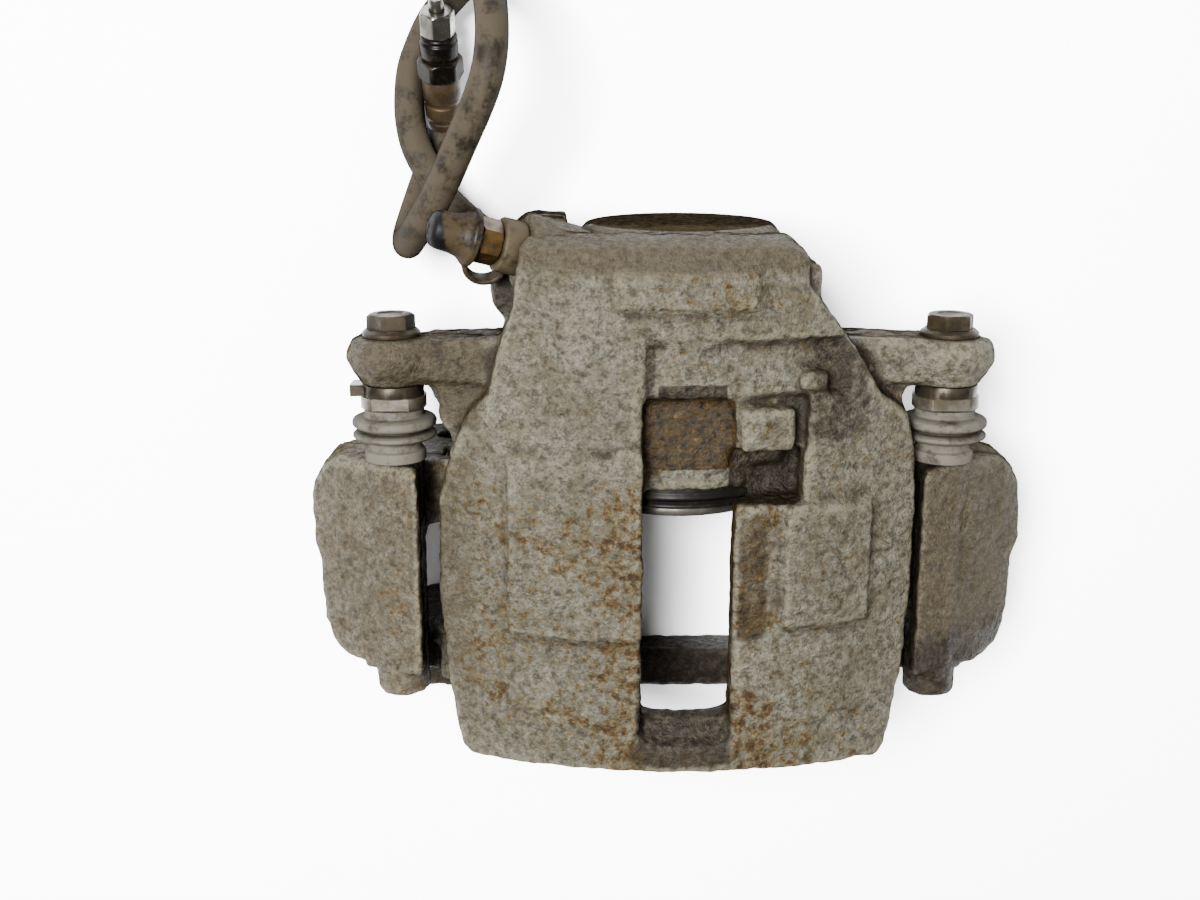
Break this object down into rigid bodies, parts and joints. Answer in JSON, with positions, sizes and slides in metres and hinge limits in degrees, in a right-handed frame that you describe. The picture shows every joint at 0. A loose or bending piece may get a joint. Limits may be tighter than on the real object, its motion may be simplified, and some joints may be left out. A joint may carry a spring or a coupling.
{
  "type": "brake caliper",
  "caption": "Floating front disc-brake caliper on its carrier, with bolted guide pins and rubber boots, a capped bleed screw and a short looped brake hose.",
  "frame": {"origin": "midway between the two mounting holes, on the inboard face of the carrier lugs", "axes": "+X from the left guide pin to the right one, +Y inboard along the piston axis, +Z away from the wheel axle"},
  "size_m": [0.232, 0.25, 0.0919],
  "materials": {
    "cast_housing": "weathered bare cast iron with light rust and dust",
    "cast_carrier": "weathered bare cast iron, duller than the housing",
    "piston_metal": "ground steel",
    "seal_rubber": "square-section seal",
    "black_rubber": "black rubber",
    "grey_rubber": "dusty grey bellows rubber",
    "stainless": "thin stainless sheet",
    "pin_steel": "plated steel",
    "bolt_steel": "dull plated steel with brown stain",
    "passivated_steel": "yellow passivated steel",
    "cap_rubber": "dusty grey-brown rubber",
    "fitting_steel": "dull plated steel",
    "copper": "dull copper",
    "ferrule_steel": "crimped steel with brown dirt",
    "hose_rubber": "dusty ribbed hose cover",
    "black_fitting": "black sleeve",
    "bright_steel": "bright worn steel"
  },
  "bodies": {
    "carrier": {"carrier": "cast_carrier", "clip_inboard_left": "stainless", "clip_inboard_right": "stainless", "clip_outboard_left": "stainless", "clip_outboard_right": "stainless"},
    "caliper": {"housing": "cast_housing", "piston_seal": "seal_rubber", "piston_boot": "black_rubber", "guide_pin_left": "pin_steel", "guide_pin_right": "pin_steel", "guide_bush": "black_rubber", "guide_bolt_left": "bolt_steel", "guide_bolt_right": "bolt_steel", "guide_boot_left": "grey_rubber", "guide_boot_right": "grey_rubber", "bleed_cap_tether": "cap_rubber", "banjo_bolt": "fitting_steel", "banjo_fitting": "fitting_steel", "sealing_washers": "copper", "hose_ferrule": "ferrule_steel", "brake_hose": "hose_rubber", "hose_end_ferrule": "ferrule_steel", "hose_end_collar": "black_fitting", "hose_end_sleeve": "black_fitting", "tube_nut": "bright_steel", "pipe_stub": "bright_steel"},
    "piston": {"piston": "piston_metal"},
    "bleed_screw": {"bleed_screw": "passivated_steel"},
    "bleed_cap": {"bleed_cap": "cap_rubber"}
  },
  "joints": [
    {"name": "guide_slide", "type": "slide", "parent": "carrier", "child": "caliper", "axis": [0, 1, 0], "range_m": [-0.006, 0.012], "deforming": ["guide_boot_left", "guide_boot_right"]},
    {"name": "piston_slide", "type": "slide", "parent": "caliper", "child": "piston", "axis": [0, -1, 0], "range_m": [0, 0.02], "deforming": ["piston_boot"]},
    {"name": "bleed_screw_turn", "type": "hinge", "parent": "caliper", "child": "bleed_screw", "pos_m": [-0.0455, 0.0702, 0.0537], "axis": [-0.901, 0.2669, 0.342], "range_deg": [0, 180]},
    {"name": "bleed_cap_pull", "type": "slide", "parent": "caliper", "child": "bleed_cap", "axis": [-0.901, 0.2669, 0.342], "range_m": [0, 0.013], "deforming": ["bleed_cap_tether"]}
  ]
}
